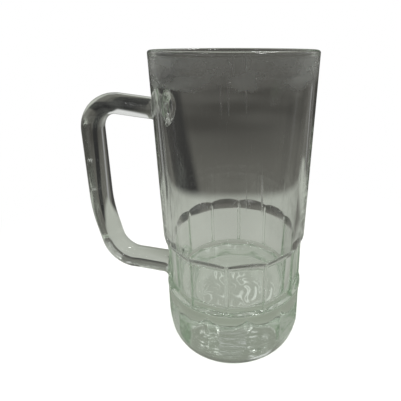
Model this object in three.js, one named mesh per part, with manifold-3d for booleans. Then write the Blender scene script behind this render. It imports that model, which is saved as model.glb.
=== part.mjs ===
// Handled glass mug: a thick-based pressed body with two staggered tiers of flat panels,
// and an oval glass handle fused to its side at two flared joints.
// Millimetres, +Z up. The origin is the centre of the foot, and the handle points to -X.
import * as THREE from 'three';
import { mergeVertices } from 'three/addons/utils/BufferGeometryUtils.js';
import Module from 'manifold-3d';

const wasm = await Module();
wasm.setup();

// Outside of the body: heights above the table, radii, and steps inwards from the radius above
const HEIGHT = 172.5;
const RIM_RADIUS = 44;
const LEDGE_HEIGHT = 70.8;
const LEDGE_RADIUS = 41.8;
const RIDGE_HEIGHT = 37.5;
const RIDGE_STEP = 0.7;
const RIDGE_LAND = 1;
const HEEL_HEIGHT = 19;
const HEEL_STEP = 0.1;
const HEEL_ROUNDING = 8;

// Inside of the body
const RIM_THICKNESS = 3.2;
const PANEL_WALL = 2.95;
const FLOOR_HEIGHT = 39;
const FLOOR_FILLET = 3.4;

// Pressed panels: two tiers, the lower one turned by half a panel
const PANEL_COUNT = 12;
const PANEL_TURN = 6.5;
const UPPER_PANEL_DEPTH = 3.4;
const LOWER_PANEL_DEPTH = 1.5;
const LEDGE_COVE = 7.4;
const RIDGE_COVE = 2.6;
const LOWER_COVE = 34;

// Handle: an oval bar along a rounded D
const HANDLE_WIDTH = 17.4;
const HANDLE_THICKNESS = 12.2;
const FINGER_DEPTH = 37;
const UPPER_JOINT_DROP = 32.4;
const UPPER_ARM_RISE = 4.2;
const UPPER_BEND_RADIUS = 16.2;
const LEG_LEAN = 8;
const LEG_LEAN_HEIGHT = 33.7;
const LEG_BEND_RADIUS = 89;
const LOWER_BEND_RADIUS = 17.7;
const LOWER_ARM_RISE = 1.7;
const LOWER_JOINT_RISE = 3.1;
const JOINT_FLARE = 3;

// How far the handle's ends reach into the wall before they are cut back, and the gap left there
const JOINT_SINK = 4;
const JOINT_GAP = 0.3;

// Fineness of the round shapes
const BODY_SEGMENTS = PANEL_COUNT * 6;
const ARC_STEPS = 4;
const BAR_SIDES = 20;
const BAR_STEPS = 48;

// What follows from the sizes
const RIDGE_RADIUS = LEDGE_RADIUS - RIDGE_STEP;
const HEEL_RADIUS = RIDGE_RADIUS - HEEL_STEP;
const FOOT_RADIUS = HEEL_RADIUS - HEEL_ROUNDING;
const UPPER_PANEL_RADIUS = LEDGE_RADIUS - UPPER_PANEL_DEPTH;
const LOWER_PANEL_RADIUS = RIDGE_RADIUS - LOWER_PANEL_DEPTH;
const FLOOR_RADIUS = UPPER_PANEL_RADIUS - PANEL_WALL;
const LIP_RADIUS = RIM_THICKNESS / 2;
const UPPER_JOINT_HEIGHT = HEIGHT - UPPER_JOINT_DROP;
const LOWER_JOINT_HEIGHT = RIDGE_HEIGHT + LOWER_JOINT_RISE;

const QUARTER_TURN = Math.PI / 2;
const HALF_TURN = Math.PI;
const PANEL_STEP = 2 * Math.PI / PANEL_COUNT;
const PANEL_START = THREE.MathUtils.degToRad(PANEL_TURN);

// Turns a closed three.js geometry into a solid that can be joined and cut.
function solidOf(geometry) {
  geometry.deleteAttribute('normal');
  geometry.deleteAttribute('uv');
  const merged = mergeVertices(geometry);
  const index = merged.index.array;
  const triangles = [];
  for (let i = 0; i < index.length; i += 3) {
    const [a, b, c] = [index[i], index[i + 1], index[i + 2]];
    if (a !== b && b !== c && c !== a) {
      triangles.push(a, b, c);
    }
  }
  return new wasm.Manifold(new wasm.Mesh({
    numProp: 3,
    vertProperties: new Float32Array(merged.attributes.position.array),
    triVerts: new Uint32Array(triangles),
  }));
}

// Turns a solid back into a named mesh.
function meshOf(name, solid, material) {
  const { vertProperties, triVerts } = solid.getMesh();
  const geometry = new THREE.BufferGeometry();
  geometry.setAttribute('position', new THREE.BufferAttribute(vertProperties, 3));
  geometry.setIndex(new THREE.BufferAttribute(triVerts, 1));
  geometry.computeVertexNormals();
  const mesh = new THREE.Mesh(geometry, material);
  mesh.name = name;
  return mesh;
}

// Spins a profile of (radius, height) points about the mug's axis, with its seams on the panels' edges.
function spun(profile) {
  const points = profile.getPoints(ARC_STEPS);
  const lathe = new THREE.LatheGeometry(points, BODY_SEGMENTS);
  return solidOf(lathe.rotateX(QUARTER_TURN).rotateZ(PANEL_START));
}

// The outer radius of the tapered wall at a height above the ledge.
function wallRadius(height) {
  const share = (height - LEDGE_HEIGHT) / (HEIGHT - LEDGE_HEIGHT);
  return THREE.MathUtils.lerp(LEDGE_RADIUS, RIM_RADIUS, share);
}

// The outline from the centre of the foot up to the start of the rounded lip, grown by a margin.
function outerProfile(grow) {
  const profile = new THREE.Path();
  profile.moveTo(0, 0);
  profile.lineTo(FOOT_RADIUS + grow, 0);
  profile.absellipse(FOOT_RADIUS + grow, HEEL_HEIGHT, HEEL_RADIUS - FOOT_RADIUS, HEEL_HEIGHT,
    -QUARTER_TURN, 0, false);
  profile.lineTo(RIDGE_RADIUS + grow, RIDGE_HEIGHT);
  profile.lineTo(LEDGE_RADIUS + grow, LEDGE_HEIGHT);
  profile.lineTo(RIM_RADIUS + grow, HEIGHT - LIP_RADIUS);
  return profile;
}

// The mug before its panels are pressed: wall, rounded lip, cavity and solid base.
function bodyBlank() {
  const profile = outerProfile(0);
  profile.absarc(RIM_RADIUS - LIP_RADIUS, HEIGHT - LIP_RADIUS, LIP_RADIUS, 0, HALF_TURN, false);
  profile.lineTo(FLOOR_RADIUS, FLOOR_HEIGHT + FLOOR_FILLET);
  profile.absarc(FLOOR_RADIUS - FLOOR_FILLET, FLOOR_HEIGHT + FLOOR_FILLET, FLOOR_FILLET,
    0, -QUARTER_TURN, true);
  profile.lineTo(0, FLOOR_HEIGHT);
  return spun(profile);
}

// The same outside with no cavity, grown by a margin.
function bodyPlug(grow) {
  const profile = outerProfile(grow);
  profile.lineTo(0, HEIGHT - LIP_RADIUS);
  return spun(profile);
}

// The height over which a panel's cove climbs from its flat out to a surface.
function coveRunOut(cove, depth) {
  return Math.sqrt(depth * (2 * cove - depth));
}

// The cutter of one panel: a flat at a radius, with a cove at its upper end,
// and at its lower end too unless the flat runs out on the heel.
function panelCutter(radius, lowHeight, highHeight, highCove, lowCove) {
  const far = radius + 2 * highCove;
  const outline = new THREE.Shape();
  outline.moveTo(radius, highHeight);
  outline.absarc(radius + highCove, highHeight, highCove, HALF_TURN, QUARTER_TURN, true);
  outline.lineTo(far, highHeight + highCove);
  if (lowCove) {
    outline.lineTo(far, lowHeight - lowCove);
    outline.absarc(radius + lowCove, lowHeight, lowCove, -QUARTER_TURN, -HALF_TURN, true);
  } else {
    outline.lineTo(far, lowHeight);
    outline.lineTo(radius, lowHeight);
  }
  const width = 2 * RIM_RADIUS * Math.tan(PANEL_STEP / 2);
  const cutter = new THREE.ExtrudeGeometry(outline,
    { depth: width, bevelEnabled: false, curveSegments: 2 * ARC_STEPS });
  return cutter.translate(0, 0, -width / 2).rotateX(QUARTER_TURN);
}

// Presses one tier of panels into a solid, with the first panel's middle at an angle.
function withPanels(solid, firstAngle, ...cutterSizes) {
  let tier = solid;
  for (let i = 0; i < PANEL_COUNT; i += 1) {
    const cutter = panelCutter(...cutterSizes).rotateZ(firstAngle + i * PANEL_STEP);
    tier = tier.subtract(solidOf(cutter));
  }
  return tier;
}

// Presses both tiers into a solid whose surface is grown by a margin.
function pressed(solid, grow) {
  const upper = UPPER_PANEL_RADIUS + grow;
  const lower = LOWER_PANEL_RADIUS + grow;
  const upperLow = RIDGE_HEIGHT + RIDGE_LAND / 2 + coveRunOut(RIDGE_COVE, RIDGE_RADIUS - UPPER_PANEL_RADIUS);
  const upperHigh = LEDGE_HEIGHT - coveRunOut(LEDGE_COVE, UPPER_PANEL_DEPTH);
  const lowerHigh = RIDGE_HEIGHT - RIDGE_LAND / 2 - coveRunOut(LOWER_COVE, LOWER_PANEL_DEPTH);
  const upperTier = withPanels(
    solid, PANEL_START + PANEL_STEP / 2, upper, upperLow, upperHigh, LEDGE_COVE, RIDGE_COVE);
  return withPanels(upperTier, PANEL_START, lower, 0, lowerHigh, LOWER_COVE, 0);
}

// A path of straight runs through points, with each inner corner rounded to its own radius.
function roundedPath(points, radii) {
  const path = new THREE.Path();
  path.moveTo(points[0].x, points[0].y);
  radii.forEach((radius, i) => {
    const corner = points[i + 1];
    const back = points[i].clone().sub(corner).normalize();
    const ahead = points[i + 2].clone().sub(corner).normalize();
    const halfAngle = Math.acos(back.dot(ahead)) / 2;
    const start = corner.clone().addScaledVector(back, radius / Math.tan(halfAngle));
    const bisector = back.clone().add(ahead).normalize();
    const centre = corner.clone().addScaledVector(bisector, radius / Math.sin(halfAngle));
    const end = corner.clone().addScaledVector(ahead, radius / Math.tan(halfAngle));
    path.lineTo(start.x, start.y);
    path.absarc(centre.x, centre.y, radius, start.sub(centre).angle(), end.sub(centre).angle(), true);
  });
  const last = points[points.length - 1];
  path.lineTo(last.x, last.y);
  return path;
}

// The handle's centreline, stood up in the plane through the mug's axis.
class HandleLine extends THREE.Curve {
  constructor(outline) {
    super();
    this.outline = outline;
  }

  getPoint(share, target = new THREE.Vector3()) {
    const point = this.outline.getPoint(share);
    return target.set(-point.x, 0, point.y);
  }
}

// One flared end of the handle: an oval trumpet whose mouth follows the round wall.
function jointFlare(radius, height) {
  const neck = HANDLE_THICKNESS / 2;
  const profile = new THREE.Path();
  profile.moveTo(0, -JOINT_SINK);
  profile.lineTo(neck + JOINT_FLARE, -JOINT_SINK);
  profile.lineTo(neck + JOINT_FLARE, 0);
  profile.absarc(neck + JOINT_FLARE, JOINT_FLARE, JOINT_FLARE, -QUARTER_TURN, -HALF_TURN, true);
  profile.lineTo(0, JOINT_FLARE);
  const trumpet = new THREE.LatheGeometry(profile.getPoints(ARC_STEPS), BAR_SIDES);
  trumpet.scale(HANDLE_WIDTH / HANDLE_THICKNESS, 1, 1).rotateZ(QUARTER_TURN).translate(-radius, 0, height);
  const places = trumpet.attributes.position;
  for (let i = 0; i < places.count; i += 1) {
    const side = places.getY(i);
    places.setX(i, places.getX(i) + radius - Math.sqrt(radius * radius - side * side));
  }
  return solidOf(trumpet);
}

// The bent oval bar with both flares, before its ends are cut to the body's surface.
function handleBlank() {
  const upperRadius = wallRadius(UPPER_JOINT_HEIGHT);
  const reach = upperRadius + FINGER_DEPTH + HANDLE_THICKNESS / 2;
  const lowerCorner = LOWER_JOINT_HEIGHT + LOWER_ARM_RISE;
  const outline = roundedPath([
    new THREE.Vector2(upperRadius - JOINT_SINK, UPPER_JOINT_HEIGHT),
    new THREE.Vector2(reach, UPPER_JOINT_HEIGHT + UPPER_ARM_RISE),
    new THREE.Vector2(reach, lowerCorner + LEG_LEAN_HEIGHT),
    new THREE.Vector2(reach - LEG_LEAN, lowerCorner),
    new THREE.Vector2(RIDGE_RADIUS - JOINT_SINK, LOWER_JOINT_HEIGHT),
  ], [UPPER_BEND_RADIUS, LEG_BEND_RADIUS, LOWER_BEND_RADIUS]);
  const section = new THREE.Shape();
  section.absellipse(0, 0, HANDLE_WIDTH / 2, HANDLE_THICKNESS / 2, 0, 2 * Math.PI, false);
  const bar = new THREE.ExtrudeGeometry(section, {
    extrudePath: new HandleLine(outline),
    steps: BAR_STEPS,
    curveSegments: BAR_SIDES / 2,
  });
  return solidOf(bar)
    .add(jointFlare(upperRadius, UPPER_JOINT_HEIGHT))
    .add(jointFlare(RIDGE_RADIUS, LOWER_JOINT_HEIGHT));
}

function bodyGlass() {
  return new THREE.MeshStandardMaterial({ color: 0xd3dcd4, roughness: 0.06, metalness: 0 });
}

function handleGlass() {
  return new THREE.MeshStandardMaterial({ color: 0xc6cec6, roughness: 0.08, metalness: 0 });
}

const mug = new THREE.Group();
mug.add(meshOf('mug_body', pressed(bodyBlank(), 0), bodyGlass()));
mug.add(meshOf('handle', handleBlank().subtract(pressed(bodyPlug(JOINT_GAP), JOINT_GAP)), handleGlass()));

export default mug;
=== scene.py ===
"""Dresses a handled glass mug: fine glass meshes around its solids, their materials and a plain studio."""

import math
from types import SimpleNamespace

import bmesh
import bpy
from bpy.props import FloatProperty, FloatVectorProperty, IntProperty, PointerProperty
from mathutils import Matrix, Vector


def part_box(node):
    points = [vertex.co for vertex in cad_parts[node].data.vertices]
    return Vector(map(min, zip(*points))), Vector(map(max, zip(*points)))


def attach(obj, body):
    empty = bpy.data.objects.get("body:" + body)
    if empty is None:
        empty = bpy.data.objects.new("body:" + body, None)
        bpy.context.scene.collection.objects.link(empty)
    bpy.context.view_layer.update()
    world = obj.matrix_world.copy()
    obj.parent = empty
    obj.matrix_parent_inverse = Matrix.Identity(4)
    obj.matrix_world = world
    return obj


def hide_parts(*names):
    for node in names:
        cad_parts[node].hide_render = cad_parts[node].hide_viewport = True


bl_info = {
    "name": "Handled glass mug",
    "version": (1, 0, 0),
    "blender": (4, 5, 0),
    "location": "View3D > Sidebar > Mug",
    "description": "Builds the glass body and handle of a panelled mug and the studio that it stands in",
    "category": "Object",
}

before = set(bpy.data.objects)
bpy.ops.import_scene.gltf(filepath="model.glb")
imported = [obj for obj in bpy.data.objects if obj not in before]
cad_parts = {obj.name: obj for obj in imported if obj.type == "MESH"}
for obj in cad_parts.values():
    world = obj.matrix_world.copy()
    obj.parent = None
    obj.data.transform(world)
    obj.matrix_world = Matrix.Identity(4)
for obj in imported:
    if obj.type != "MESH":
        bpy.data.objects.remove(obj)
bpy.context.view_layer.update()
BODY_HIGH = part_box("mug_body")[1]

MM = 0.001
QUARTER_TURN = math.pi / 2
HALF_TURN = math.pi
FULL_TURN = 2 * math.pi


class MugBodySizes(bpy.types.PropertyGroup):
    """Sizes of the pressed glass body, in metres."""

    height: FloatProperty(
        name="Height", description="From the table to the top of the lip", default=BODY_HIGH[2],
        unit="LENGTH")
    rim_radius: FloatProperty(
        name="Rim radius", description="Outside of the lip", default=44 * MM, unit="LENGTH")
    rim_thickness: FloatProperty(
        name="Rim thickness", description="Across the wall below the lip", default=3.2 * MM, unit="LENGTH")
    lip_height: FloatProperty(
        name="Lip height", description="Of the fire-polished rounding", default=1.4 * MM, unit="LENGTH")
    lip_swell: FloatProperty(
        name="Lip swell", description="How far the lip stands into the cavity", default=0.25 * MM,
        unit="LENGTH")
    ledge_height: FloatProperty(
        name="Ledge height", description="Where the upper panels run out in the wall", default=70.8 * MM,
        unit="LENGTH")
    ledge_radius: FloatProperty(
        name="Ledge radius", description="Outside of the wall at the ledge", default=41.8 * MM,
        unit="LENGTH")
    ridge_height: FloatProperty(
        name="Ridge height", description="Middle of the round ridge between the tiers", default=37.5 * MM,
        unit="LENGTH")
    ridge_radius: FloatProperty(
        name="Ridge radius", description="Outside of the ridge", default=41.1 * MM, unit="LENGTH")
    ridge_land: FloatProperty(
        name="Ridge land", description="Height of the plain band on the ridge", default=1.0 * MM,
        unit="LENGTH")
    heel_height: FloatProperty(
        name="Heel height", description="Where the rounded heel begins", default=19 * MM, unit="LENGTH")
    heel_radius: FloatProperty(
        name="Heel radius", description="Outside at the top of the heel", default=41.0 * MM, unit="LENGTH")
    foot_radius: FloatProperty(
        name="Foot radius", description="Edge of the flat foot", default=33 * MM, unit="LENGTH")
    floor_height: FloatProperty(
        name="Floor height", description="Inner floor above the table", default=39 * MM, unit="LENGTH")
    floor_radius: FloatProperty(
        name="Floor radius", description="Cavity at the top of its floor fillet", default=35.45 * MM,
        unit="LENGTH")
    floor_fillet: FloatProperty(
        name="Floor fillet", description="Between the cavity's wall and floor", default=3.4 * MM,
        unit="LENGTH")
    panel_count: IntProperty(
        name="Panels", description="Flats in each tier", default=12, min=6)
    panel_turn: FloatProperty(
        name="Panel turn", description="Angle of the first upper panel edge from +X",
        default=math.radians(6.5), subtype="ANGLE")
    upper_panel_radius: FloatProperty(
        name="Upper panel radius", description="From the axis to an upper flat", default=38.4 * MM,
        unit="LENGTH")
    lower_panel_radius: FloatProperty(
        name="Lower panel radius", description="From the axis to a lower flat", default=39.6 * MM,
        unit="LENGTH")
    rib_width: FloatProperty(
        name="Rib width", description="Across a round rib between two upper flats", default=2.1 * MM,
        unit="LENGTH")
    rib_radius: FloatProperty(
        name="Rib radius", description="From the axis to the crest of such a rib", default=40.45 * MM,
        unit="LENGTH")
    rib_run_out: FloatProperty(
        name="Rib run-out", description="Height over which a rib climbs out to the ledge", default=13 * MM,
        unit="LENGTH")
    rib_foot: FloatProperty(
        name="Rib foot", description="Height over which a rib climbs out to the ridge", default=3.2 * MM,
        unit="LENGTH")
    ridge_slope: FloatProperty(
        name="Ridge slope", description="Height over which an upper flat climbs out to the ridge",
        default=1.3 * MM, unit="LENGTH")
    upper_cove: FloatProperty(
        name="Upper cove", description="Height of the hollow end over an upper flat", default=6.2 * MM,
        unit="LENGTH")
    upper_cove_slope: FloatProperty(
        name="Upper cove slope", description="Lean of that end where it leaves the flat",
        default=math.radians(9), subtype="ANGLE")
    lower_flare: FloatProperty(
        name="Lower flare", description="Height of the round flare over the lower flats", default=10 * MM,
        unit="LENGTH")
    lower_flare_slope: FloatProperty(
        name="Lower flare slope", description="Lean of that flare at its foot", default=math.radians(6),
        subtype="ANGLE")
    edge_softness: FloatProperty(
        name="Edge softness", description="How far fire polishing rounds the panels' edges",
        default=0.12 * MM, unit="LENGTH")
    lower_softness: FloatProperty(
        name="Lower softness", description="How far fire polishing rounds the flare's edges",
        default=0.2 * MM, unit="LENGTH")


class MugHandleSizes(bpy.types.PropertyGroup):
    """Sizes of the fused glass handle, in metres."""

    width: FloatProperty(
        name="Width", description="Across the oval bar", default=17.4 * MM, unit="LENGTH")
    thickness: FloatProperty(
        name="Thickness", description="Through the oval bar", default=12.2 * MM, unit="LENGTH")
    reach: FloatProperty(
        name="Reach", description="From the mug's axis to the middle of the grip", default=86.4 * MM,
        unit="LENGTH")
    upper_joint: FloatProperty(
        name="Upper joint", description="Height of the upper fused joint", default=140.1 * MM,
        unit="LENGTH")
    upper_rise: FloatProperty(
        name="Upper arm rise", description="From the joint to the upper corner", default=4.2 * MM,
        unit="LENGTH")
    upper_bend: FloatProperty(
        name="Upper bend", description="Radius of the upper corner", default=16.2 * MM, unit="LENGTH")
    lean: FloatProperty(
        name="Leg lean", description="How far the lower leg leans in", default=8 * MM, unit="LENGTH")
    lean_height: FloatProperty(
        name="Lean height", description="Height over which the leg leans in", default=33.7 * MM,
        unit="LENGTH")
    leg_bend: FloatProperty(
        name="Leg bend", description="Radius where the leg starts to lean", default=89 * MM, unit="LENGTH")
    lower_bend: FloatProperty(
        name="Lower bend", description="Radius of the lower corner", default=17.7 * MM, unit="LENGTH")
    lower_joint: FloatProperty(
        name="Lower joint", description="Height of the lower fused joint", default=40.6 * MM, unit="LENGTH")
    lower_rise: FloatProperty(
        name="Lower arm rise", description="From the joint to the lower corner", default=1.7 * MM,
        unit="LENGTH")
    flare: FloatProperty(
        name="Joint flare", description="Radius of the fillet at the fused joints", default=4.2 * MM,
        unit="LENGTH")
    sink: FloatProperty(
        name="Joint sink", description="How deep the fused ends lie in the wall", default=0.08 * MM,
        unit="LENGTH")


class MugGlassLook(bpy.types.PropertyGroup):
    """Colours and finish of the glass."""

    body_tint: FloatVectorProperty(
        name="Body tint", description="What passes through deep glass", subtype="COLOR",
        default=(0.38, 0.70, 0.36))
    handle_tint: FloatVectorProperty(
        name="Handle tint", description="What passes through the bar", subtype="COLOR",
        default=(0.42, 0.72, 0.40))
    tint_density: FloatProperty(
        name="Tint density", description="Absorption per metre", default=2.5)
    index: FloatProperty(
        name="Refractive index", description="Soda-lime glass", default=1.52)


def plain(group):
    """A property group's values as plain numbers, which are quicker to read."""
    return SimpleNamespace(**{name: getattr(group, name) for name in group.__annotations__})


def smooth_step(value):
    """0 up to 0, 1 from 1 on, and a smooth climb between."""
    value = min(max(value, 0.0), 1.0)
    return value * value * (3 - 2 * value)


def soft_min(a, b, softness):
    """The smaller of two values, rounded off where they meet."""
    overlap = max(softness - abs(a - b), 0.0) / softness
    return min(a, b) - overlap * overlap * softness / 4


def evenly(start, end, count):
    """Evenly spaced values from start, up to but without end."""
    return [start + (end - start) * i / count for i in range(count)]


def arc_points(centre, radii, start, end, count):
    """Points (radius, height) along an elliptic arc, without its last one."""
    turns = evenly(start, end, count)
    return [(centre[0] + radii[0] * math.cos(a), centre[1] + radii[1] * math.sin(a)) for a in turns]


# Below 1, a rib stands on steep sides.
RIB_FULLNESS = 0.6
# Rounds that settle where a line across the mug meets its pressed wall.
WALL_ROUNDS = 4


def blank_radius(mug, z):
    """The outside of the body at a height, before its panels are pressed."""
    if z < mug.heel_height:
        drop = (mug.heel_height - z) / mug.heel_height
        return mug.foot_radius + (mug.heel_radius - mug.foot_radius) * math.sqrt(max(1 - drop * drop, 0.0))
    levels = (
        (mug.heel_height, mug.heel_radius),
        (mug.ridge_height, mug.ridge_radius),
        (mug.ledge_height, mug.ledge_radius),
        (mug.height - mug.lip_height, mug.rim_radius),
    )
    for (low, low_radius), (high, high_radius) in zip(levels, levels[1:]):
        if z <= high:
            return low_radius + (high_radius - low_radius) * (z - low) / (high - low)
    return mug.rim_radius


def end_rise(past, height, depth, slope):
    """How far the hollow or flared end of a flat has climbed outwards, at a height past the flat's top."""
    past = max(past, 0.0)
    start = math.tan(slope)
    hollow = (depth - start * height) / height ** 2
    return start * past + hollow * past * past


def flats_radius(mug, angle, first_edge, panel_radius):
    """The radius of a ring of flats at an angle, and the way along the flat to its nearest edge."""
    step = FULL_TURN / mug.panel_count
    from_middle = abs((angle - first_edge) % step - step / 2)
    flat = panel_radius / math.cos(from_middle)
    next_flat = panel_radius / math.cos(step - from_middle)
    to_edge = panel_radius * (step / 2 - from_middle)
    return soft_min(flat, next_flat, mug.edge_softness), to_edge


def upper_tier_radius(mug, angle, z):
    """The upper tier: flats between round ribs, with a hollow end over each and the ridge below."""
    depth = mug.ledge_radius - mug.upper_panel_radius
    past_flat = z - mug.ledge_height + mug.upper_cove
    panel_radius = mug.upper_panel_radius + end_rise(past_flat, mug.upper_cove, depth, mug.upper_cove_slope)
    flats, to_edge = flats_radius(mug, angle, mug.panel_turn, panel_radius)
    run_out = max(1 - (mug.ledge_height - z) / mug.rib_run_out, 0.0)
    over_ridge = z - mug.ridge_height - mug.ridge_land / 2
    foot = 1 - smooth_step(over_ridge / mug.rib_foot)
    crest = mug.rib_radius + (mug.ledge_radius - mug.rib_radius) * run_out * run_out
    crest += (mug.ridge_radius - mug.rib_radius) * foot
    flat_edge = panel_radius / math.cos(HALF_TURN / mug.panel_count)
    across_rib = 2 * to_edge / mug.rib_width
    flats += max(crest - flat_edge, 0.0) * max(1 - across_rib * across_rib, 0.0) ** RIB_FULLNESS
    onto_ridge = 1 - smooth_step(over_ridge / mug.ridge_slope)
    return flats + max(mug.ridge_radius - flats, 0.0) * onto_ridge


def lower_tier_radius(mug, angle, z):
    """The lower tier: flats staggered by half a panel, and a round flare that ends them in lenses."""
    depth = mug.ridge_radius - mug.lower_panel_radius
    past_flat = z - mug.ridge_height + mug.ridge_land / 2 + mug.lower_flare
    flare = mug.lower_panel_radius + end_rise(past_flat, mug.lower_flare, depth, mug.lower_flare_slope)
    first_edge = mug.panel_turn + HALF_TURN / mug.panel_count
    flats, _ = flats_radius(mug, angle, first_edge, mug.lower_panel_radius)
    return -soft_min(-flats, -flare, mug.lower_softness)


def body_radius(mug, angle, z):
    """The outside of the pressed body at an angle and a height."""
    blank = blank_radius(mug, z)
    if z > mug.ridge_height:
        return soft_min(blank, upper_tier_radius(mug, angle, z), mug.edge_softness)
    return soft_min(blank, lower_tier_radius(mug, angle, z), mug.lower_softness)


def wall_x(mug, y, z):
    """Where the outside of the body lies on the handle's side, at a sideways place and a height."""
    radius = blank_radius(mug, z)
    x = -math.sqrt(radius * radius - y * y)
    for _ in range(WALL_ROUNDS):
        radius = body_radius(mug, math.atan2(y, x), z)
        x = -math.sqrt(radius * radius - y * y)
    return x


# Rows of the spun profile.
FOOT_ROWS = 4
HEEL_ROWS = 18
LIP_ROWS = 18
SWELL_ROWS = 5
CAVITY_ROWS = 10
FILLET_ROWS = 14
FLOOR_ROWS = 5
# Rows up the outside: lower flats, flare, ridge, rib feet, upper flats, coves and plain wall.
WALL_ROWS = 6, 20, 5, 16, 6, 24, 12
# Close rows reach past a flare, a rib's foot or a cove by this share of its height.
ROW_MARGIN = 0.1
# Columns between two neighbouring panel edges: a third of them crowd beside each edge.
COLUMNS_PER_HALF_PANEL = 24
CROWDED_SHARE = 0.12
ON_SURFACE = 0.01 * MM
WELD_DISTANCE = 0.001 * MM


def wall_heights(mug):
    """Heights of the rows up the outside, close together where its form changes."""
    land_low = mug.ridge_height - mug.ridge_land / 2
    land_high = mug.ridge_height + mug.ridge_land / 2
    levels = (
        mug.heel_height,
        land_low - (1 + ROW_MARGIN) * mug.lower_flare,
        land_low,
        land_high,
        land_high + (1 + ROW_MARGIN) * mug.rib_foot,
        mug.ledge_height - (1 + ROW_MARGIN) * mug.upper_cove,
        mug.ledge_height + ROW_MARGIN * mug.upper_cove,
        mug.height - mug.lip_height,
    )
    heights = []
    for low, high, rows in zip(levels, levels[1:], WALL_ROWS):
        heights += evenly(low, high, rows)
    return heights


def body_profile(mug):
    """Points (radius, height) from the centre of the foot, over the lip and down to the cavity's floor."""
    heel = mug.heel_radius - mug.foot_radius, mug.heel_height
    points = [(r, 0.0) for r in evenly(0.0, mug.foot_radius, FOOT_ROWS)]
    points += arc_points((mug.foot_radius, mug.heel_height), heel, -QUARTER_TURN, 0.0, HEEL_ROWS)
    points += [(blank_radius(mug, z), z) for z in wall_heights(mug)]

    lip = (mug.rim_thickness + mug.lip_swell) / 2
    lip_level = mug.height - mug.lip_height
    points += arc_points((mug.rim_radius - lip, lip_level), (lip, mug.lip_height), 0.0, HALF_TURN, LIP_ROWS)
    cavity_rim = mug.rim_radius - mug.rim_thickness
    for share in evenly(0.0, 1.0, SWELL_ROWS):
        swell = mug.lip_swell * (1 - smooth_step(share))
        points.append((cavity_rim - swell, lip_level - mug.lip_height * share))

    fillet = mug.floor_fillet
    fillet_centre = mug.floor_radius - fillet, mug.floor_height + fillet
    cavity_radii = evenly(cavity_rim, mug.floor_radius, CAVITY_ROWS)
    cavity_heights = evenly(lip_level - mug.lip_height, fillet_centre[1], CAVITY_ROWS)
    points += list(zip(cavity_radii, cavity_heights))
    points += arc_points(fillet_centre, (fillet, fillet), 0.0, -QUARTER_TURN, FILLET_ROWS)
    points += [(r, mug.floor_height) for r in evenly(fillet_centre[0], 0.0, FLOOR_ROWS)]
    points.append((0.0, mug.floor_height))
    return points


def crowded(share):
    """Moves an even place between two panel edges, 0 to 1, so that columns crowd beside the edges."""
    if share < 1 / 3:
        return 3 * share * CROWDED_SHARE
    if share > 2 / 3:
        return 1 - 3 * (1 - share) * CROWDED_SHARE
    return CROWDED_SHARE + (3 * share - 1) * (1 - 2 * CROWDED_SHARE)


def press_panels(bm, mug):
    """Crowds the spun columns at the panels' edges and presses both tiers into the outside."""
    cell = HALF_TURN / mug.panel_count
    pressed = {}
    for vert in bm.verts:
        radius = math.hypot(vert.co.x, vert.co.y)
        if radius < ON_SURFACE:
            continue
        column = round((math.atan2(vert.co.y, vert.co.x) - mug.panel_turn) / cell * COLUMNS_PER_HALF_PANEL)
        half_panel, along_it = divmod(column, COLUMNS_PER_HALF_PANEL)
        angle = mug.panel_turn + (half_panel + crowded(along_it / COLUMNS_PER_HALF_PANEL)) * cell
        z = vert.co.z
        outside = ON_SURFACE < z < mug.height - mug.lip_height
        if outside and radius > blank_radius(mug, z) - ON_SURFACE:
            key = column % (2 * COLUMNS_PER_HALF_PANEL), z
            if key not in pressed:
                pressed[key] = body_radius(mug, angle, z)
            radius = pressed[key]
        vert.co.x = radius * math.cos(angle)
        vert.co.y = radius * math.sin(angle)


def new_object(bm, name, material):
    """A smooth-shaded object at the origin, made from a bmesh."""
    mesh = bpy.data.meshes.new(name)
    bm.to_mesh(mesh)
    bm.free()
    mesh.shade_smooth()
    mesh.materials.append(material)
    piece = bpy.data.objects.new(name, mesh)
    bpy.context.scene.collection.objects.link(piece)
    return piece


def glass_object(bm, name, material):
    """A closed piece of glass: its seams and poles are welded, and its faces point outwards."""
    bmesh.ops.remove_doubles(bm, verts=bm.verts, dist=WELD_DISTANCE)
    bmesh.ops.recalc_face_normals(bm, faces=bm.faces)
    return new_object(bm, name, material)


def new_group(name, inputs, output):
    """A shader node group with named float sockets, and its two end nodes."""
    group = bpy.data.node_groups.new(name, "ShaderNodeTree")
    for label in inputs:
        socket = group.interface.new_socket(label, in_out="INPUT", socket_type="NodeSocketFloat")
        socket.default_value = 1.0
    group.interface.new_socket(output, in_out="OUTPUT", socket_type="NodeSocketFloat")
    return group, group.nodes.new("NodeGroupInput"), group.nodes.new("NodeGroupOutput")


def new_tree(material):
    """An emptied node tree of a material, with its output node."""
    material.use_nodes = True
    tree = material.node_tree
    tree.nodes.clear()
    return tree, add_node(tree, "ShaderNodeOutputMaterial")


def add_node(tree, kind, **settings):
    """A node with its settings, and with any plain values of its inputs given by name in values."""
    values = settings.pop("values", {})
    made = tree.nodes.new(kind)
    for key, value in settings.items():
        setattr(made, key, value)
    for key, value in values.items():
        made.inputs[key].default_value = value
    return made


def calc(tree, operation, first, second=None, third=None):
    """A math node on sockets or plain numbers, and its output."""
    made = add_node(tree, "ShaderNodeMath", operation=operation)
    for socket, value in zip(made.inputs, (first, second, third)):
        if value is None:
            continue
        if isinstance(value, (int, float)):
            socket.default_value = value
        else:
            tree.links.new(value, socket)
    return made.outputs[0]


def product(tree, first, *others):
    """The product of sockets or plain numbers."""
    for other in others:
        first = calc(tree, "MULTIPLY", first, other)
    return first


def length_of(tree, first, second):
    """The length of a way with two legs square to each other."""
    return calc(tree, "SQRT", calc(tree, "MULTIPLY_ADD", first, first, product(tree, second, second)))


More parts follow.
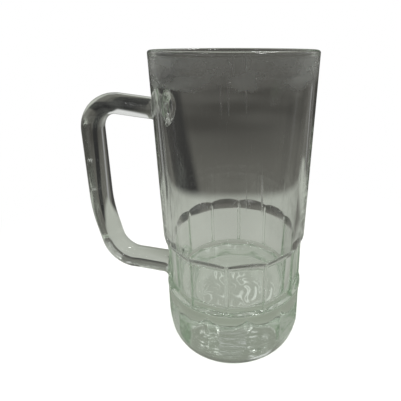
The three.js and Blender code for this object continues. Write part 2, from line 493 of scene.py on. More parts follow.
def rising(tree, value, low, high):
    """A smooth step from 0 to 1 as a value climbs from low to high."""
    made = add_node(tree, "ShaderNodeMapRange", interpolation_type="SMOOTHSTEP", values={
        "From Min": low, "From Max": high})
    tree.links.new(value, made.inputs["Value"])
    return made.outputs["Result"]


def falling(tree, value, low, high):
    """A smooth step from 1 to 0 as a value climbs from low to high."""
    return calc(tree, "SUBTRACT", 1.0, rising(tree, value, low, high))


def between(tree, value, ends, fade):
    """1 where a value lies between two ends, with soft edges."""
    low, high = ends
    return product(
        tree, rising(tree, value, low - fade, low + fade), falling(tree, value, high - fade, high + fade))


def mixed(tree, factor, first, second):
    """A mix of two colours, each a socket or a plain colour."""
    mix = add_node(tree, "ShaderNodeMix", data_type="RGBA")
    tree.links.new(factor, mix.inputs["Factor"])
    for name, value in (("A", first), ("B", second)):
        target = next(socket for socket in mix.inputs if socket.name == name and socket.type == "RGBA")
        if isinstance(value, tuple):
            target.default_value = (*value, 1.0)
        else:
            tree.links.new(value, target)
    return next(socket for socket in mix.outputs if socket.type == "RGBA")


def mixed_shader(tree, factor, first, second, output):
    """Sends a mix of two shaders to a material's surface."""
    mix = add_node(tree, "ShaderNodeMixShader")
    tree.links.new(factor, mix.inputs["Fac"])
    tree.links.new(first, mix.inputs[1])
    tree.links.new(second, mix.inputs[2])
    tree.links.new(mix.outputs["Shader"], output.inputs["Surface"])


def stretched_noise(tree, scale, detail=3.0, roughness=0.55, offset=(0.0, 0.0, 0.0), distortion=0.0):
    """Noise on the piece's own coordinates, with its own scale along each axis."""
    place = add_node(tree, "ShaderNodeTexCoord")
    mapping = add_node(tree, "ShaderNodeMapping", values={"Scale": scale, "Location": offset})
    noise = add_node(tree, "ShaderNodeTexNoise", values={
        "Scale": 1.0, "Detail": detail, "Roughness": roughness, "Distortion": distortion})
    tree.links.new(place.outputs["Object"], mapping.inputs["Vector"])
    tree.links.new(mapping.outputs["Vector"], noise.inputs["Vector"])
    return noise.outputs["Fac"]


def place_of(tree):
    """The shaded point's own coordinates."""
    place = add_node(tree, "ShaderNodeTexCoord")
    split = add_node(tree, "ShaderNodeSeparateXYZ")
    tree.links.new(place.outputs["Object"], split.inputs["Vector"])
    return split.outputs


def height_of(tree):
    """The height of the shaded point above the table."""
    return place_of(tree)["Z"]


def radius_of(tree):
    """The distance of the shaded point from the mug's axis."""
    x, y, _ = place_of(tree)
    return length_of(tree, x, y)


# Pressing marks: scales of the noise per metre along X, Y and Z, and where they fade.
RIPPLE_DEPTH = 0.05 * MM
WAVE_SCALE = 46.0, 46.0, 22.0
PEEL_SCALE = 420.0, 420.0, 260.0
HEEL_RING_SCALE = 48.0, 48.0, 420.0
# The heel's rings fade between these shares of its height.
HEEL_RING_FADE = 0.8, 1.3
BODY_RIPPLE = {"Waves": 0.8, "Peel": 0.08, "Heel": 6.0}
HANDLE_RIPPLE = {"Waves": 0.22, "Peel": 0.03, "Heel": 0.0}


def ripple_group(name, mug):
    """Low waves and a fine orange peel that pressing leaves, and a rippled heel."""
    group, ends_in, ends_out = new_group(name, ("Waves", "Peel", "Heel"), "Height")
    waves = stretched_noise(group, WAVE_SCALE, detail=1.0)
    peel = stretched_noise(group, PEEL_SCALE, detail=1.0)
    fade_start, fade_end = (share * mug.heel_height for share in HEEL_RING_FADE)
    on_heel = falling(group, height_of(group), fade_start, fade_end)
    rings = product(group, stretched_noise(group, HEEL_RING_SCALE, detail=1.0), on_heel)
    total = 0.0
    for height_part, label in ((waves, "Waves"), (peel, "Peel"), (rings, "Heel")):
        total = calc(group, "MULTIPLY_ADD", height_part, ends_in.outputs[label], total)
    group.links.new(total, ends_out.inputs["Height"])
    return group


# Dried film: runs down the wall, a hazy band under the rim, smudges, and dull coves at the ledge.
RUN_SCALE = 640.0, 640.0, 5.0
RUN_LIMITS = 0.66, 0.74
RUN_PATCH_SCALE = 40.0, 40.0, 26.0
RUN_PATCH_OFFSET = 1.0, 4.0, 2.0
RUN_PATCH_LIMITS = 0.45, 0.58
RUN_FADE = 85 * MM, 115 * MM
BAND_TOP = 3.4 * MM
BAND_HEM = 17 * MM
BAND_RAGGED = 9 * MM
BAND_TIDE = 2.2 * MM
HEM_SCALE = 130.0, 130.0, 60.0
HAZE_SCALE = 60.0, 60.0, 120.0
HAZE_OFFSET = 9.0, 3.0, 5.0
HAZE_LIMITS = 0.25, 0.70
SMUDGE_SCALE = 70.0, 70.0, 70.0
SMUDGE_OFFSET = 3.0, 1.0, 7.0
SMUDGE_LIMITS = 0.52, 0.74
LEDGE_FADE = 0.5 * MM
LEDGE_DEPTH = 1 * MM
LEDGE_GRAIN_SCALE = 90.0, 90.0, 90.0
LEDGE_GRAIN_LIMITS = 0.10, 0.60
BODY_FILM = {"Runs": 0.8, "Band": 0.85, "Smudges": 0.15, "Ledge": 0.6}
HANDLE_FILM = {"Runs": 0.0, "Band": 0.0, "Smudges": 0.15, "Ledge": 0.0}


def dried_runs(group, height):
    """Thin upright runs, in patches, that fade out down the wall."""
    runs = rising(group, stretched_noise(group, RUN_SCALE, detail=1.0), *RUN_LIMITS)
    patches = stretched_noise(group, RUN_PATCH_SCALE, offset=RUN_PATCH_OFFSET)
    in_patch = rising(group, patches, *RUN_PATCH_LIMITS)
    return product(group, runs, in_patch, rising(group, height, *RUN_FADE))


def rim_haze(group, mug, height):
    """A hazy band under the lip, with a ragged hem and a tide line along it."""
    ragged = stretched_noise(group, HEM_SCALE, detail=5.0, roughness=0.65)
    hem = calc(group, "MULTIPLY_ADD", ragged, BAND_RAGGED, height)
    hem_low = mug.height - BAND_HEM + BAND_RAGGED / 2
    hem_edge = hem_low + BAND_RAGGED / 8
    band = rising(group, hem, hem_low, hem_edge)
    tide = product(group, band, falling(group, hem, hem_edge, hem_low + BAND_TIDE))
    haze = stretched_noise(group, HAZE_SCALE, detail=4.0, offset=HAZE_OFFSET)
    thick = rising(group, haze, *HAZE_LIMITS)
    below_lip = falling(group, height, mug.height - BAND_TOP, mug.height - BAND_TOP / 2)
    return calc(group, "MAXIMUM", product(group, band, thick, below_lip), product(group, tide, thick))


def ledge_film(group, mug, height):
    """Dull, grained film in the hollow ends of the upper flats, on the outside only."""
    in_cove = between(group, height, (mug.ledge_height - mug.upper_cove, mug.ledge_height), LEDGE_FADE)
    outside = rising(
        group, radius_of(group), mug.upper_panel_radius - LEDGE_DEPTH, mug.upper_panel_radius - LEDGE_FADE)
    grain = rising(group, stretched_noise(group, LEDGE_GRAIN_SCALE, detail=0.0), *LEDGE_GRAIN_LIMITS)
    return product(group, in_cove, outside, grain)


def film_group(name, mug):
    """Dried runs, a hazy band under the rim, smudges and dull ledges: a mask of dulled glass."""
    group, ends_in, ends_out = new_group(name, ("Runs", "Band", "Smudges", "Ledge"), "Film")
    height = height_of(group)
    smudges = stretched_noise(group, SMUDGE_SCALE, detail=5.0, offset=SMUDGE_OFFSET)
    masks = {
        "Runs": dried_runs(group, height),
        "Band": rim_haze(group, mug, height),
        "Smudges": rising(group, smudges, *SMUDGE_LIMITS),
        "Ledge": ledge_film(group, mug, height),
    }
    total = 0.0
    for label, mask in masks.items():
        total = calc(group, "MAXIMUM", product(group, mask, ends_in.outputs[label]), total)
    group.links.new(total, ends_out.inputs["Film"])
    return group


# Fine scuffs on the foot and the lip.
WEAR_FADE = 1.2 * MM
SCUFF_SCALE = 900.0, 900.0, 900.0
SCUFF_LIMITS = 0.40, 0.75


def wear_group(name, mug):
    """Fine scuffs on the foot and the lip: a mask that fades away from both."""
    group, ends_in, ends_out = new_group(name, ("Amount",), "Wear")
    height = height_of(group)
    on_foot = falling(group, height, 0.0, WEAR_FADE)
    on_lip = rising(group, height, mug.height - 2 * WEAR_FADE, mug.height)
    scuffs = rising(group, stretched_noise(group, SCUFF_SCALE, detail=4.0), *SCUFF_LIMITS)
    worn = product(group, calc(group, "MAXIMUM", on_foot, on_lip), scuffs, ends_in.outputs["Amount"])
    group.links.new(worn, ends_out.inputs["Wear"])
    return group


# Fused joints: the handle's end faces are see-through, and so is the wall under them, in streaks.
MOUTH_EDGE = 0.15 * MM
MOUTH_DEPTH = 2.4 * MM
MOUTH_ATTRIBUTE = "fused"
MOUTH_STREAK_SCALE = 90.0, 420.0, 70.0
MOUTH_STREAK_LIMITS = 0.50, 0.66


def mouth_area(tree, mug, bar, level):
    """1 in streaks on the body's outside, where the handle's mouth at a height is fused to it."""
    x, y, z = place_of(tree)
    up = calc(tree, "SUBTRACT", z, level)
    wide = calc(tree, "DIVIDE", y, bar.width / 2)
    tall = calc(tree, "DIVIDE", up, bar.thickness / 2)
    away = length_of(tree, y, up)
    past_bar = calc(tree, "SUBTRACT", away, calc(tree, "DIVIDE", away, length_of(tree, wide, tall)))
    in_mouth = calc(tree, "LESS_THAN", past_bar, bar.flare - MOUTH_EDGE)
    outside = calc(tree, "GREATER_THAN", radius_of(tree), -wall_x(mug, 0.0, level) - MOUTH_DEPTH)
    handle_side = calc(tree, "LESS_THAN", x, 0.0)
    streaks = rising(tree, stretched_noise(tree, MOUTH_STREAK_SCALE, detail=2.0), *MOUTH_STREAK_LIMITS)
    return product(tree, in_mouth, streaks, outside, handle_side)


def mouth_attribute(tree):
    """1 on the faces that close the handle's ends inside the wall."""
    return add_node(tree, "ShaderNodeAttribute", attribute_name=MOUTH_ATTRIBUTE).outputs["Fac"]


# The glass itself.
CLEAR_ROUGHNESS = 0.004
FILM_ROUGHNESS = 0.45
WEAR_ROUGHNESS = 0.30
# The share of a lamp's light that passes each face of the glass on its way to the floor.
LAMP_SHARE = 0.92


def shared_group(tree, name, build, mug, shares):
    """Places a node group, which is built once and then shared, with its own values."""
    group = bpy.data.node_groups.get(name) or build(name, mug)
    return add_node(tree, "ShaderNodeGroup", node_tree=group, values=shares)


def glass_material(name, tint, look, mug, film_shares, ripple_shares, fused):
    """Clear, faintly coloured glass with ripple, dried film and wear, and no skin where it is fused."""
    material = bpy.data.materials.new(name)
    tree, output = new_tree(material)
    glass = add_node(tree, "ShaderNodeBsdfPrincipled", values={
        "Base Color": (1.0, 1.0, 1.0, 1.0), "Transmission Weight": 1.0, "IOR": look.index})
    film = shared_group(tree, "Dried film", film_group, mug, film_shares)
    wear = shared_group(tree, "Foot and lip wear", wear_group, mug, {"Amount": 1.0})
    ripple = shared_group(tree, "Pressed ripple", ripple_group, mug, ripple_shares)
    filmed = calc(tree, "MULTIPLY_ADD", film.outputs["Film"], FILM_ROUGHNESS, CLEAR_ROUGHNESS)
    worn = calc(tree, "MULTIPLY_ADD", wear.outputs["Wear"], WEAR_ROUGHNESS, filmed)
    tree.links.new(worn, glass.inputs["Roughness"])
    bump = add_node(tree, "ShaderNodeBump", values={"Strength": 1.0, "Distance": RIPPLE_DEPTH})
    tree.links.new(ripple.outputs["Height"], bump.inputs["Height"])
    tree.links.new(bump.outputs["Normal"], glass.inputs["Normal"])
    tree.links.new(calc(tree, "SUBTRACT", 1.0, fused(tree)), glass.inputs["Alpha"])
    absorb = add_node(tree, "ShaderNodeVolumeAbsorption", values={
        "Color": (*tint, 1.0), "Density": look.tint_density})
    tree.links.new(absorb.outputs["Volume"], output.inputs["Volume"])
    path = add_node(tree, "ShaderNodeLightPath")
    lamp_way = add_node(tree, "ShaderNodeBsdfTransparent", values={
        "Color": (LAMP_SHARE, LAMP_SHARE, LAMP_SHARE, 1.0)})
    to_lamp = path.outputs["Is Shadow Ray"]
    mixed_shader(tree, to_lamp, glass.outputs["BSDF"], lamp_way.outputs["BSDF"], output)
    return material


class MUG_OT_body(bpy.types.Operator):
    """Spins the mug's profile and presses its panels."""

    bl_idname = "mug.body"
    bl_label = "Glass body"

    def execute(self, context):
        mug = plain(context.scene.mug_body)
        bar = plain(context.scene.mug_handle)
        look = context.scene.mug_look
        bm = bmesh.new()
        verts = [bm.verts.new((r, 0.0, z)) for r, z in body_profile(mug)]
        edges = [bm.edges.new(pair) for pair in zip(verts, verts[1:])]
        bmesh.ops.rotate(bm, verts=verts, matrix=Matrix.Rotation(mug.panel_turn, 3, "Z"))
        panel_angle = FULL_TURN / mug.panel_count
        bmesh.ops.spin(
            bm, geom=verts + edges, axis=(0, 0, 1), angle=panel_angle, steps=2 * COLUMNS_PER_HALF_PANEL)
        press_panels(bm, mug)
        bmesh.ops.spin(
            bm, geom=bm.verts[:] + bm.edges[:] + bm.faces[:], axis=(0, 0, 1), angle=FULL_TURN - panel_angle,
            steps=mug.panel_count - 1, use_duplicate=True)

        def body_joints(tree):
            upper = mouth_area(tree, mug, bar, bar.upper_joint)
            lower = mouth_area(tree, mug, bar, bar.lower_joint)
            return calc(tree, "MAXIMUM", upper, lower)

        material = glass_material(
            "Body glass", look.body_tint, look, mug, BODY_FILM, BODY_RIPPLE, body_joints)
        body = glass_object(bm, "glass_body", material)
        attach(body, "root")
        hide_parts("mug_body")
        return {"FINISHED"}


# Sides of the handle's oval, and rings along its joints, runs, bends and closed ends.
BAR_SIDES = 72
JOINT_LENGTH = 12 * MM
JOINT_RINGS = 20
ARM_RINGS = 6
LEG_RINGS = 14
BEND_RINGS = 30
LEAN_RINGS = 12
CAP_RINGS = 5


def corner_bend(before, corner, after, radius):
    """A rounded corner in the handle's plane: where it starts and ends, its centre and its turn."""
    back = (before - corner).normalized()
    ahead = (after - corner).normalized()
    half_angle = back.angle(ahead) / 2
    run = radius / math.tan(half_angle)
    return SimpleNamespace(
        start=corner + back * run,
        end=corner + ahead * run,
        centre=corner + (back + ahead).normalized() * (radius / math.sin(half_angle)),
        turn=HALF_TURN - 2 * half_angle)


def ring_of(verts):
    """The edges that run between some vertices."""
    inside = set(verts)
    return list({edge for vert in verts for edge in vert.link_edges if edge.other_vert(vert) in inside})


def ring_verts(edges):
    """The vertices of a ring of edges."""
    return list({vert for edge in edges for vert in edge.verts})


def doubled(bm, ring):
    """Extrudes a ring of edges in its place, and gives the new vertices and faces."""
    made = bmesh.ops.extrude_edge_only(bm, edges=ring)["geom"]
    verts = [item for item in made if isinstance(item, bmesh.types.BMVert)]
    faces = [item for item in made if isinstance(item, bmesh.types.BMFace)]
    return verts, faces


def extruded(bm, ring, step):
    """Extrudes a ring of edges by a step and gives the new ring."""
    verts, _ = doubled(bm, ring)
    bmesh.ops.translate(bm, verts=verts, vec=step)
    return ring_of(verts)


def joint_steps():
    """Ring steps along a fused joint, short at the wall and longer away from it."""
    places = [(i / JOINT_RINGS) ** 2 * JOINT_LENGTH for i in range(JOINT_RINGS + 1)]
    return [b - a for a, b in zip(places, places[1:])]


def along(bm, ring, start, end, count):
    """Extrudes a ring straight from one point to another in even steps."""
    for _ in range(count):
        ring = extruded(bm, ring, (end - start) / count)
    return ring


def around(bm, ring, bend, count):
    """Spins a ring round a bend."""
    made = bmesh.ops.spin(
        bm, geom=ring + ring_verts(ring), cent=bend.centre, axis=(0, 1, 0), angle=-bend.turn, steps=count,
        use_merge=False)
    return [item for item in made["geom_last"] if isinstance(item, bmesh.types.BMEdge)]


def flare_out(mug, bar, vert, joint, arm):
    """Moves a point of the bar's end out into the fillet, so that its mouth follows the wall."""
    away = (vert.co - joint).dot(arm)
    if away > JOINT_LENGTH:
        return
    offset = vert.co - joint - arm * away
    short = max(bar.flare - max(away, 0.0), 0.0)
    spread = bar.flare - math.sqrt(bar.flare ** 2 - short ** 2)
    place = joint + arm * away + offset * (1 + spread / offset.length)
    at_wall = wall_x(mug, place.y, place.z) - away + bar.sink
    place.x += (at_wall - place.x) * smooth_step(1 - away / JOINT_LENGTH)
    vert.co = place


def close_end(bm, ring, mug, bar, joint):
    """Closes an end of the bar with rings that lie along the wall's surface, and marks them as fused."""
    mark = bm.faces.layers.float.get(MOUTH_ATTRIBUTE) or bm.faces.layers.float.new(MOUTH_ATTRIBUTE)
    for rings_left in range(CAP_RINGS, 0, -1):
        verts, faces = doubled(bm, ring)
        shrink = (rings_left - 1) / rings_left
        for vert in verts:
            vert.co.y *= shrink
            vert.co.z = joint.z + (vert.co.z - joint.z) * shrink
            vert.co.x = wall_x(mug, vert.co.y, vert.co.z) + bar.sink
        for face in faces:
            face[mark] = 1.0
        ring = ring_of(verts)


class MUG_OT_handle(bpy.types.Operator):
    """Bends the oval bar round the fingers and fuses its flared ends to the wall."""

    bl_idname = "mug.handle"
    bl_label = "Glass handle"

    def execute(self, context):
        mug = plain(context.scene.mug_body)
        bar = plain(context.scene.mug_handle)
        look = context.scene.mug_look
        upper = Vector((wall_x(mug, 0.0, bar.upper_joint), 0.0, bar.upper_joint))
        lower = Vector((wall_x(mug, 0.0, bar.lower_joint), 0.0, bar.lower_joint))
        lower_corner = Vector((bar.lean - bar.reach, 0.0, bar.lower_joint + bar.lower_rise))
        lean_start = Vector((-bar.reach, 0.0, lower_corner.z + bar.lean_height))
        upper_corner = Vector((-bar.reach, 0.0, bar.upper_joint + bar.upper_rise))
        upper_arm = (upper_corner - upper).normalized()
        lower_arm = (lower_corner - lower).normalized()
        upper_bend = corner_bend(upper, upper_corner, lean_start, bar.upper_bend)
        leg_bend = corner_bend(upper_corner, lean_start, lower_corner, bar.leg_bend)
        lower_bend = corner_bend(lean_start, lower_corner, lower, bar.lower_bend)

        bm = bmesh.new()
        sideways = Vector((0, 1, 0))
        across = Matrix((sideways, upper_arm.cross(sideways), upper_arm)).transposed().to_4x4()
        oval = Matrix.Diagonal((bar.width / 2, bar.thickness / 2, 1.0, 1.0))
        first_ring = ring_of(bmesh.ops.create_circle(
            bm, segments=BAR_SIDES, radius=1.0, matrix=Matrix.Translation(upper) @ across @ oval)["verts"])
        ring = first_ring
        for step in joint_steps():
            ring = extruded(bm, ring, upper_arm * step)
        ring = along(bm, ring, upper + upper_arm * JOINT_LENGTH, upper_bend.start, ARM_RINGS)
        ring = around(bm, ring, upper_bend, BEND_RINGS)
        ring = along(bm, ring, upper_bend.end, leg_bend.start, LEG_RINGS)
        ring = around(bm, ring, leg_bend, LEAN_RINGS)
        ring = along(bm, ring, leg_bend.end, lower_bend.start, ARM_RINGS)
        ring = around(bm, ring, lower_bend, BEND_RINGS)
        ring = along(bm, ring, lower_bend.end, lower + lower_arm * JOINT_LENGTH, ARM_RINGS)
        for step in reversed(joint_steps()):
            ring = extruded(bm, ring, -lower_arm * step)
        for vert in bm.verts:
            if vert.co.z > (upper.z + lower.z) / 2:
                flare_out(mug, bar, vert, upper, upper_arm)
            else:
                flare_out(mug, bar, vert, lower, lower_arm)
        close_end(bm, first_ring, mug, bar, upper)
        close_end(bm, ring, mug, bar, lower)
        material = glass_material(
            "Handle glass", look.handle_tint, look, mug, HANDLE_FILM, HANDLE_RIPPLE, mouth_attribute)
        handle = glass_object(bm, "glass_handle", material)
        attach(handle, "root")
        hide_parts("handle")
        return {"FINISHED"}


# The camera: its place about the mug's axis, and the photograph's frame in pixels.
FRAME_PIXELS = 401
FOCAL_PIXELS = 372.0
OPTICAL_AXIS_PIXEL = 233.9, 170.0
SENSOR_WIDTH = 36.0
CLIP_START = 10 * MM
CAMERA_DISTANCE = 201.8 * MM
CAMERA_HEIGHT = 176.5 * MM
CAMERA_AZIMUTH = math.radians(12.0)
CAMERA_PITCH = math.radians(19.1)

# Lamps: name, place, size, power, and whether the glass mirrors it.
LAMPS = (
    ("Key lamp", (-0.45, -0.75, 1.0), (0.45, 0.45), 9.0, False),
    ("Top lamp", (0.25, 0.30, 1.15), (0.60, 0.30), 7.0, False),
    ("Side lamp", (0.95, -0.25, 0.75), (0.20, 0.60), 4.0, False),
    ("Left glint", (-0.12, -0.12, 0.44), (0.05, 0.05), 0.12, True),
    ("Right glint", (0.15, -0.08, 0.40), (0.03, 0.07), 0.12, True),
    ("Back glint", (0.03, 0.16, 0.38), (0.06, 0.04), 0.12, True),
)
FILL_STRENGTH = 0.45
# Light turns round inside thick glass many times before it leaves.
GLASS_BOUNCES = 32

# A pale floor, which fades to the white background between two distances from the mug.
STAGE_SIDES = 128
FLOOR_RADIUS = 6.0
FLOOR_DROP = 0.3 * MM
FLOOR_COLOUR = (0.80, 0.80, 0.79)
FLOOR_FADE = 0.07, 0.28

# A grey surround, which gives clear glass its tone.
SURROUND_RADIUS = 1.2
SURROUND_HEIGHT = 2.4
SURROUND_DROP = 0.15 * MM
# The angles from straight behind the mug between which its middle gives way to its sides.
SIDE_ANGLES = math.radians(24), math.radians(56)

# Its table: the shade round the foot starts, is deepest and ends at three distances from the axis.
TABLE_COLOUR = (0.445, 0.465, 0.415)
TABLE_SHADE_COLOUR = (0.305, 0.322, 0.275)
TABLE_SHADE = 0.030, 0.060, 0.110
TABLE_SIDES = -0.28, 0.20
TABLE_ENDS = -0.17, 0.200
TABLE_FADE = 0.018
# A corner of the table that lies in the dark.
DARK_SIDES = -0.60, -0.13
DARK_ENDS = -0.60, 0.10

# Under the foot: a painted shade, and painted wavy lines of the light that the thick base gathers there.
UNDER_FOOT_SHADE_COLOUR = (0.375, 0.395, 0.347)
POOL_LINE_COLOUR = (0.72, 0.75, 0.70)
POOL_EDGE = 0.021, 0.031
POOL_SCALE = 48.0, 48.0, 48.0
POOL_WINDING = 0.8
POOL_LINES = 26.0
POOL_LINE_LIMITS = 0.0, 0.60
POOL_PATCH_OFFSET = 5.0, 2.0, 0.0
POOL_PATCH_LIMITS = 0.30, 0.55

# The floor beyond the table, behind the mug, beside it and in front of it.
FAR_COLOUR = (0.060, 0.058, 0.052)
FAR_CLOUD_COLOUR = (0.092, 0.090, 0.081)
FAR_CLOUD_SCALE = 3.0, 3.0, 3.0
FAR_CLOUD_LIMITS = 0.36, 0.64
FAR_EDGE_COLOUR = (0.130, 0.128, 0.113)
FAR_EDGE = 0.24, 0.55
FAR_SIDE_COLOUR = (0.125, 0.122, 0.110)
NEAR_COLOUR = (0.062, 0.062, 0.055)
# The cosines of the turns between which the near floor gives way to the far one.
NEAR_COSINES = -0.3, 0.2

# The walls, which brighten as they climb and darken overhead.
LOW_WALL_COLOUR = (0.220, 0.220, 0.205)
WALL_COLOUR = (0.285, 0.295, 0.258)
WALL_CLIMB = math.radians(15), math.radians(36)
WALL_SIDE_COLOUR = (0.425, 0.437, 0.405)
WALL_SIDE_CLIMB = math.radians(2), math.radians(21)
ZENITH_COLOUR = (0.185, 0.190, 0.168)
ZENITH_CLIMB = math.radians(58), math.radians(64)

# Upright shapes beyond the table: turn from behind the mug and half width in degrees, and brightness.
UPRIGHTS = (
    (22, 8, 0.028),
    (48, 3, 0.30),
    (66, 9, 0.045),
    (-47, 3, 0.28),
)
# Soft lights: turn from behind the mug, rise, half width and half height in degrees, and brightness.
LIGHTS = (
    (19, 28, 8, 8, 0.75),
    (72, 33, 14, 7, 1.0),
    (-35, 49, 3.5, 1.6, 1.6),
    (27, 47, 4, 1.6, 0.9),
    (-23, 42.1, 0.7, 0.7, 1.9),
    (2, 55, 14, 1.2, 0.55),
    (3, 45, 9, 0.9, 0.52),
    (-9, 43, 1.5, 1.0, 7.0),
    (14, 51.5, 2, 1.0, 3.5),
    (-13, 49, 4, 1.0, 1.2),
    (11, 50, 5, 1.0, 1.2),
    (-24, 59.5, 4, 1.2, 14.0),
    (20, 59.5, 4, 1.2, 7.0),
    (0, 90, 180, 8, 0.8),
    (-140, 52, 4, 3, 5.0),
)
# Uprights and lights fade between these shares of their half sizes.
SOFT_EDGE = 0.7, 1.2


def make_camera():
    """The photograph's camera."""
    data = bpy.data.cameras.new("Camera")
    data.sensor_width = SENSOR_WIDTH
    data.lens = FOCAL_PIXELS / FRAME_PIXELS * SENSOR_WIDTH
    data.shift_x = (FRAME_PIXELS / 2 - OPTICAL_AXIS_PIXEL[0]) / FRAME_PIXELS
    data.shift_y = (OPTICAL_AXIS_PIXEL[1] - FRAME_PIXELS / 2) / FRAME_PIXELS
    data.clip_start = CLIP_START
    camera = bpy.data.objects.new("Camera", data)
    camera.location = (
        CAMERA_DISTANCE * math.sin(CAMERA_AZIMUTH),
        -CAMERA_DISTANCE * math.cos(CAMERA_AZIMUTH),
        CAMERA_HEIGHT)
    camera.rotation_euler = (QUARTER_TURN - CAMERA_PITCH, 0.0, CAMERA_AZIMUTH)
    bpy.context.scene.collection.objects.link(camera)
    bpy.context.scene.camera = camera


def add_lamp(name, place, size, power, mirrored):
    """A soft lamp that faces the mug, and whether the glass mirrors it."""
    data = bpy.data.lights.new(name, "AREA")
    data.shape = "RECTANGLE"
    data.size, data.size_y = size
    data.energy = power
    lamp = bpy.data.objects.new(name, data)
    lamp.location = place
    target = Vector((0.0, 0.0, BODY_HIGH[2] / 2))
    lamp.rotation_euler = (target - lamp.location).to_track_quat("-Z", "Y").to_euler()
    lamp.visible_camera = False
    lamp.visible_glossy = mirrored
    lamp.visible_transmission = False
    bpy.context.scene.collection.objects.link(lamp)


def background_seen(tree):
    """1 for rays that look at the background, straight, mirrored or through glass."""
    path = add_node(tree, "ShaderNodeLightPath")
    seen = calc(tree, "MAXIMUM", path.outputs["Is Camera Ray"], path.outputs["Is Glossy Ray"])
    return calc(tree, "MAXIMUM", seen, path.outputs["Is Transmission Ray"])


def make_world():
    """White where it is seen, and a plain soft fill where it lights."""
    world = bpy.data.worlds.new("Studio")
    bpy.context.scene.world = world
    world.use_nodes = True
    tree = world.node_tree
    background = tree.nodes["Background"]
    background.inputs["Color"].default_value = (1.0, 1.0, 1.0, 1.0)
    strength = calc(tree, "MULTIPLY_ADD", background_seen(tree), 1.0 - FILL_STRENGTH, FILL_STRENGTH)
    tree.links.new(strength, background.inputs["Strength"])


def floor_material():
    """Pale paper that fades to the white background far from the mug."""
    material = bpy.data.materials.new("Pale floor")
    tree, output = new_tree(material)
    paper = add_node(tree, "ShaderNodeBsdfDiffuse", values={"Color": (*FLOOR_COLOUR, 1.0)})
    white = add_node(tree, "ShaderNodeEmission", values={"Color": (1.0, 1.0, 1.0, 1.0), "Strength": 1.0})
    fade = product(tree, rising(tree, radius_of(tree), *FLOOR_FADE), background_seen(tree))
    mixed_shader(tree, fade, paper.outputs["BSDF"], white.outputs["Emission"], output)
    return material


def even_grey(brightness):
    """A grey of some brightness."""
    return brightness, brightness, brightness


def surround_place(tree):
    """Where a point of the surround lies: from the axis, round it, up, behind the mug and across."""
    x, y, height = place_of(tree)
    radius = radius_of(tree)
    turned = calc(tree, "SUBTRACT", calc(tree, "ARCTAN2", y, x), CAMERA_AZIMUTH + QUARTER_TURN)
    turn = calc(tree, "WRAP", turned, HALF_TURN, -HALF_TURN)
    behind = calc(tree, "COSINE", turn)
    middle_end, side_start = SIDE_ANGLES
    return SimpleNamespace(
        radius=radius,
        turn=turn,
        rise=calc(tree, "ARCTAN2", height, radius),
        behind=behind,
        aside=falling(tree, behind, math.cos(side_start), math.cos(middle_end)),
        back=product(tree, radius, behind),
        across=product(tree, radius, calc(tree, "SINE", turn)))


def table_colour(tree, place):
    """A pale table with a painted shade round the foot, and under it a painted shade with painted wavy
    lines of gathered light.
    """
    shade_start, shade_deepest, shade_end = TABLE_SHADE
    shade = product(
        tree, rising(tree, place.radius, shade_start, shade_deepest),
        falling(tree, place.radius, shade_deepest, shade_end))
    table = mixed(tree, shade, TABLE_COLOUR, TABLE_SHADE_COLOUR)
    under_foot = falling(tree, place.radius, *POOL_EDGE)
    winding = stretched_noise(tree, POOL_SCALE, detail=1.0, distortion=POOL_WINDING)
    waves = calc(tree, "ABSOLUTE", calc(tree, "SINE", product(tree, winding, POOL_LINES)))
    lines = falling(tree, waves, *POOL_LINE_LIMITS)
    patches = stretched_noise(tree, POOL_SCALE, detail=0.0, offset=POOL_PATCH_OFFSET)
    lit_lines = product(tree, under_foot, lines, rising(tree, patches, *POOL_PATCH_LIMITS))
    # Painted shade under the foot, with painted lines of gathered light over it.
    table = mixed(tree, under_foot, table, UNDER_FOOT_SHADE_COLOUR)
    return mixed(tree, lit_lines, table, POOL_LINE_COLOUR)


def off_middle(tree, value, middle, half_size):
    """How far a value lies from a middle, in half sizes, both in degrees."""
    off = calc(tree, "SUBTRACT", value, math.radians(middle))
    return calc(tree, "DIVIDE", off, math.radians(half_size))


def floor_beyond(tree, place):
    """A dark, clouded floor beyond the table, with a few upright shapes."""
    cloud = rising(tree, stretched_noise(tree, FAR_CLOUD_SCALE, detail=1.0), *FAR_CLOUD_LIMITS)
    far = mixed(tree, place.aside, mixed(tree, cloud, FAR_COLOUR, FAR_CLOUD_COLOUR), FAR_SIDE_COLOUR)
    far = mixed(tree, rising(tree, place.back, *FAR_EDGE), FAR_EDGE_COLOUR, far)
    floor = mixed(tree, falling(tree, place.behind, *NEAR_COSINES), far, NEAR_COLOUR)
    for turn, half_width, brightness in UPRIGHTS:
        sideways = off_middle(tree, place.turn, turn, half_width)
        upright = falling(tree, calc(tree, "ABSOLUTE", sideways), *SOFT_EDGE)
        floor = mixed(tree, upright, floor, even_grey(brightness))
    return floor


def in_field(tree, place, sides, ends):
    """1 in a soft-edged field of the ground."""
    return product(
        tree, between(tree, place.across, sides, TABLE_FADE), between(tree, place.back, ends, TABLE_FADE))


def ground_colour(tree, place):
    """The table, without its dark corner, and the floor beyond it."""
    lit = calc(tree, "SUBTRACT", 1.0, in_field(tree, place, DARK_SIDES, DARK_ENDS))
    on_table = product(tree, in_field(tree, place, TABLE_SIDES, TABLE_ENDS), lit)
    return mixed(tree, on_table, floor_beyond(tree, place), table_colour(tree, place))


def wall_colour(tree, place, ground):
    """The walls over the ground, paler as they climb, and the darker ceiling."""
    wall_foot = product(tree, place.aside, rising(tree, place.rise, 0.0, WALL_SIDE_CLIMB[0]))
    low_wall = mixed(tree, wall_foot, ground, LOW_WALL_COLOUR)
    middle = mixed(tree, rising(tree, place.rise, *WALL_CLIMB), low_wall, WALL_COLOUR)
    sides = mixed(tree, rising(tree, place.rise, *WALL_SIDE_CLIMB), low_wall, WALL_SIDE_COLOUR)
    walls = mixed(tree, place.aside, middle, sides)
    return mixed(tree, rising(tree, place.rise, *ZENITH_CLIMB), walls, ZENITH_COLOUR)


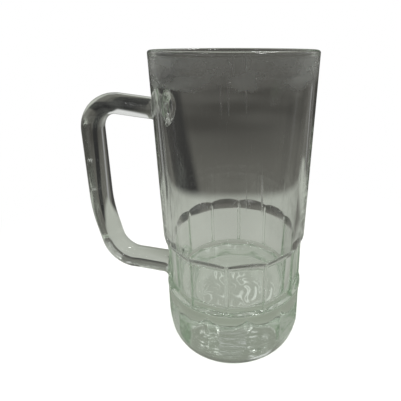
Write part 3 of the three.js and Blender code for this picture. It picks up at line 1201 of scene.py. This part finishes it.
def surround_material():
    """What the glass shows: a pale table, a dark floor round it, paler walls, and a few soft lights."""
    material = bpy.data.materials.new("Studio surround")
    tree, output = new_tree(material)
    place = surround_place(tree)
    colour = wall_colour(tree, place, ground_colour(tree, place))
    for turn, rise, half_width, half_height, brightness in LIGHTS:
        sideways = off_middle(tree, place.turn, turn, half_width)
        upwards = off_middle(tree, place.rise, rise, half_height)
        lit = falling(tree, length_of(tree, sideways, upwards), *SOFT_EDGE)
        colour = mixed(tree, lit, colour, even_grey(brightness))
    glow = add_node(tree, "ShaderNodeEmission", values={"Strength": 1.0})
    tree.links.new(colour, glow.inputs["Color"])
    tree.links.new(glow.outputs["Emission"], output.inputs["Surface"])
    return material


def make_floor():
    """A wide round floor."""
    bm = bmesh.new()
    bmesh.ops.create_circle(
        bm, cap_ends=True, segments=STAGE_SIDES, radius=FLOOR_RADIUS,
        matrix=Matrix.Translation((0, 0, -FLOOR_DROP)))
    floor = new_object(bm, "floor", floor_material())


def make_surround():
    """A table, a wall and a ceiling round the mug, which only mirrored and bent light shows."""
    bm = bmesh.new()
    bmesh.ops.create_cone(
        bm, cap_ends=True, segments=STAGE_SIDES, radius1=SURROUND_RADIUS, radius2=SURROUND_RADIUS,
        depth=SURROUND_HEIGHT, matrix=Matrix.Translation((0, 0, SURROUND_HEIGHT / 2 - SURROUND_DROP)))
    surround = new_object(bm, "surround", surround_material())
    surround.visible_camera = False
    surround.visible_diffuse = False
    surround.visible_shadow = False


class MUG_OT_stage(bpy.types.Operator):
    """Sets the floor, the surround, the lamps, the background and the camera."""

    bl_idname = "mug.stage"
    bl_label = "Studio"

    def execute(self, context):
        context.scene.view_settings.view_transform = "Standard"
        paths = context.scene.cycles
        paths.max_bounces = paths.glossy_bounces = paths.transmission_bounces = GLASS_BOUNCES
        make_camera()
        make_world()
        make_floor()
        make_surround()
        for lamp in LAMPS:
            add_lamp(*lamp)
        return {"FINISHED"}


class MUG_PT_panel(bpy.types.Panel):
    """Lists the mug's pieces and the studio."""

    bl_idname = "MUG_PT_panel"
    bl_label = "Handled glass mug"
    bl_space_type = "VIEW_3D"
    bl_region_type = "UI"
    bl_category = "Mug"

    def draw(self, context):
        column = self.layout.column()
        column.operator(MUG_OT_body.bl_idname)
        column.operator(MUG_OT_handle.bl_idname)
        column.operator(MUG_OT_stage.bl_idname)
        for group in (context.scene.mug_body, context.scene.mug_handle, context.scene.mug_look):
            for name in group.__annotations__:
                column.prop(group, name)


CLASSES = (
    MugBodySizes,
    MugHandleSizes,
    MugGlassLook,
    MUG_OT_body,
    MUG_OT_handle,
    MUG_OT_stage,
    MUG_PT_panel,
)


def register():
    for item in CLASSES:
        bpy.utils.register_class(item)
    bpy.types.Scene.mug_body = PointerProperty(type=MugBodySizes)
    bpy.types.Scene.mug_handle = PointerProperty(type=MugHandleSizes)
    bpy.types.Scene.mug_look = PointerProperty(type=MugGlassLook)


def unregister():
    del bpy.types.Scene.mug_look
    del bpy.types.Scene.mug_handle
    del bpy.types.Scene.mug_body
    for item in reversed(CLASSES):
        bpy.utils.unregister_class(item)


def main():
    register()
    bpy.ops.mug.stage()
    bpy.ops.mug.body()
    bpy.ops.mug.handle()


if __name__ == "__main__":
    main()
